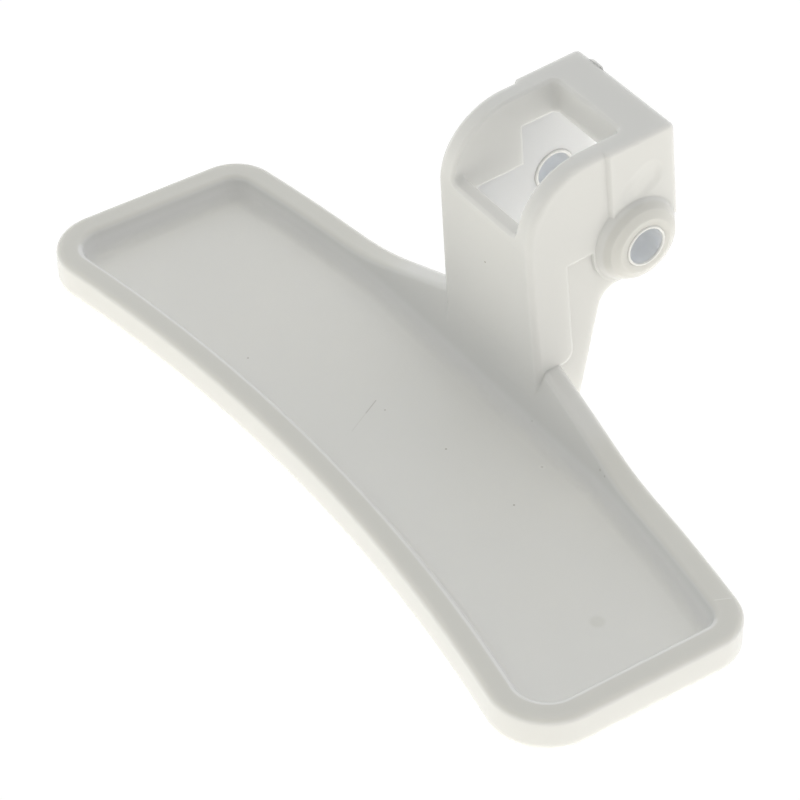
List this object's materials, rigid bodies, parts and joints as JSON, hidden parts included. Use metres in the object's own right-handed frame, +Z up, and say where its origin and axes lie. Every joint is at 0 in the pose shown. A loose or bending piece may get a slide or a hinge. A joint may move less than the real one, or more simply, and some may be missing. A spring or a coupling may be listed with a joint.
{
  "type": "washing machine door handle",
  "caption": "White moulded lever handle for a washing machine door: a curved finger tray with a hollow arm, a window for the catch and a bored pivot eye.",
  "frame": {"origin": "bottom centre of the bounding box, on the tray's smooth outer face", "axes": "+X along the tray, +Y from the tray's concave front edge to the arm, +Z up from the outer face along the arm"},
  "size_m": [0.112, 0.0552, 0.0402],
  "materials": {
    "white_plastic": "satin"
  },
  "bodies": {
    "root": {"door_handle": "white_plastic"}
  },
  "joints": []
}
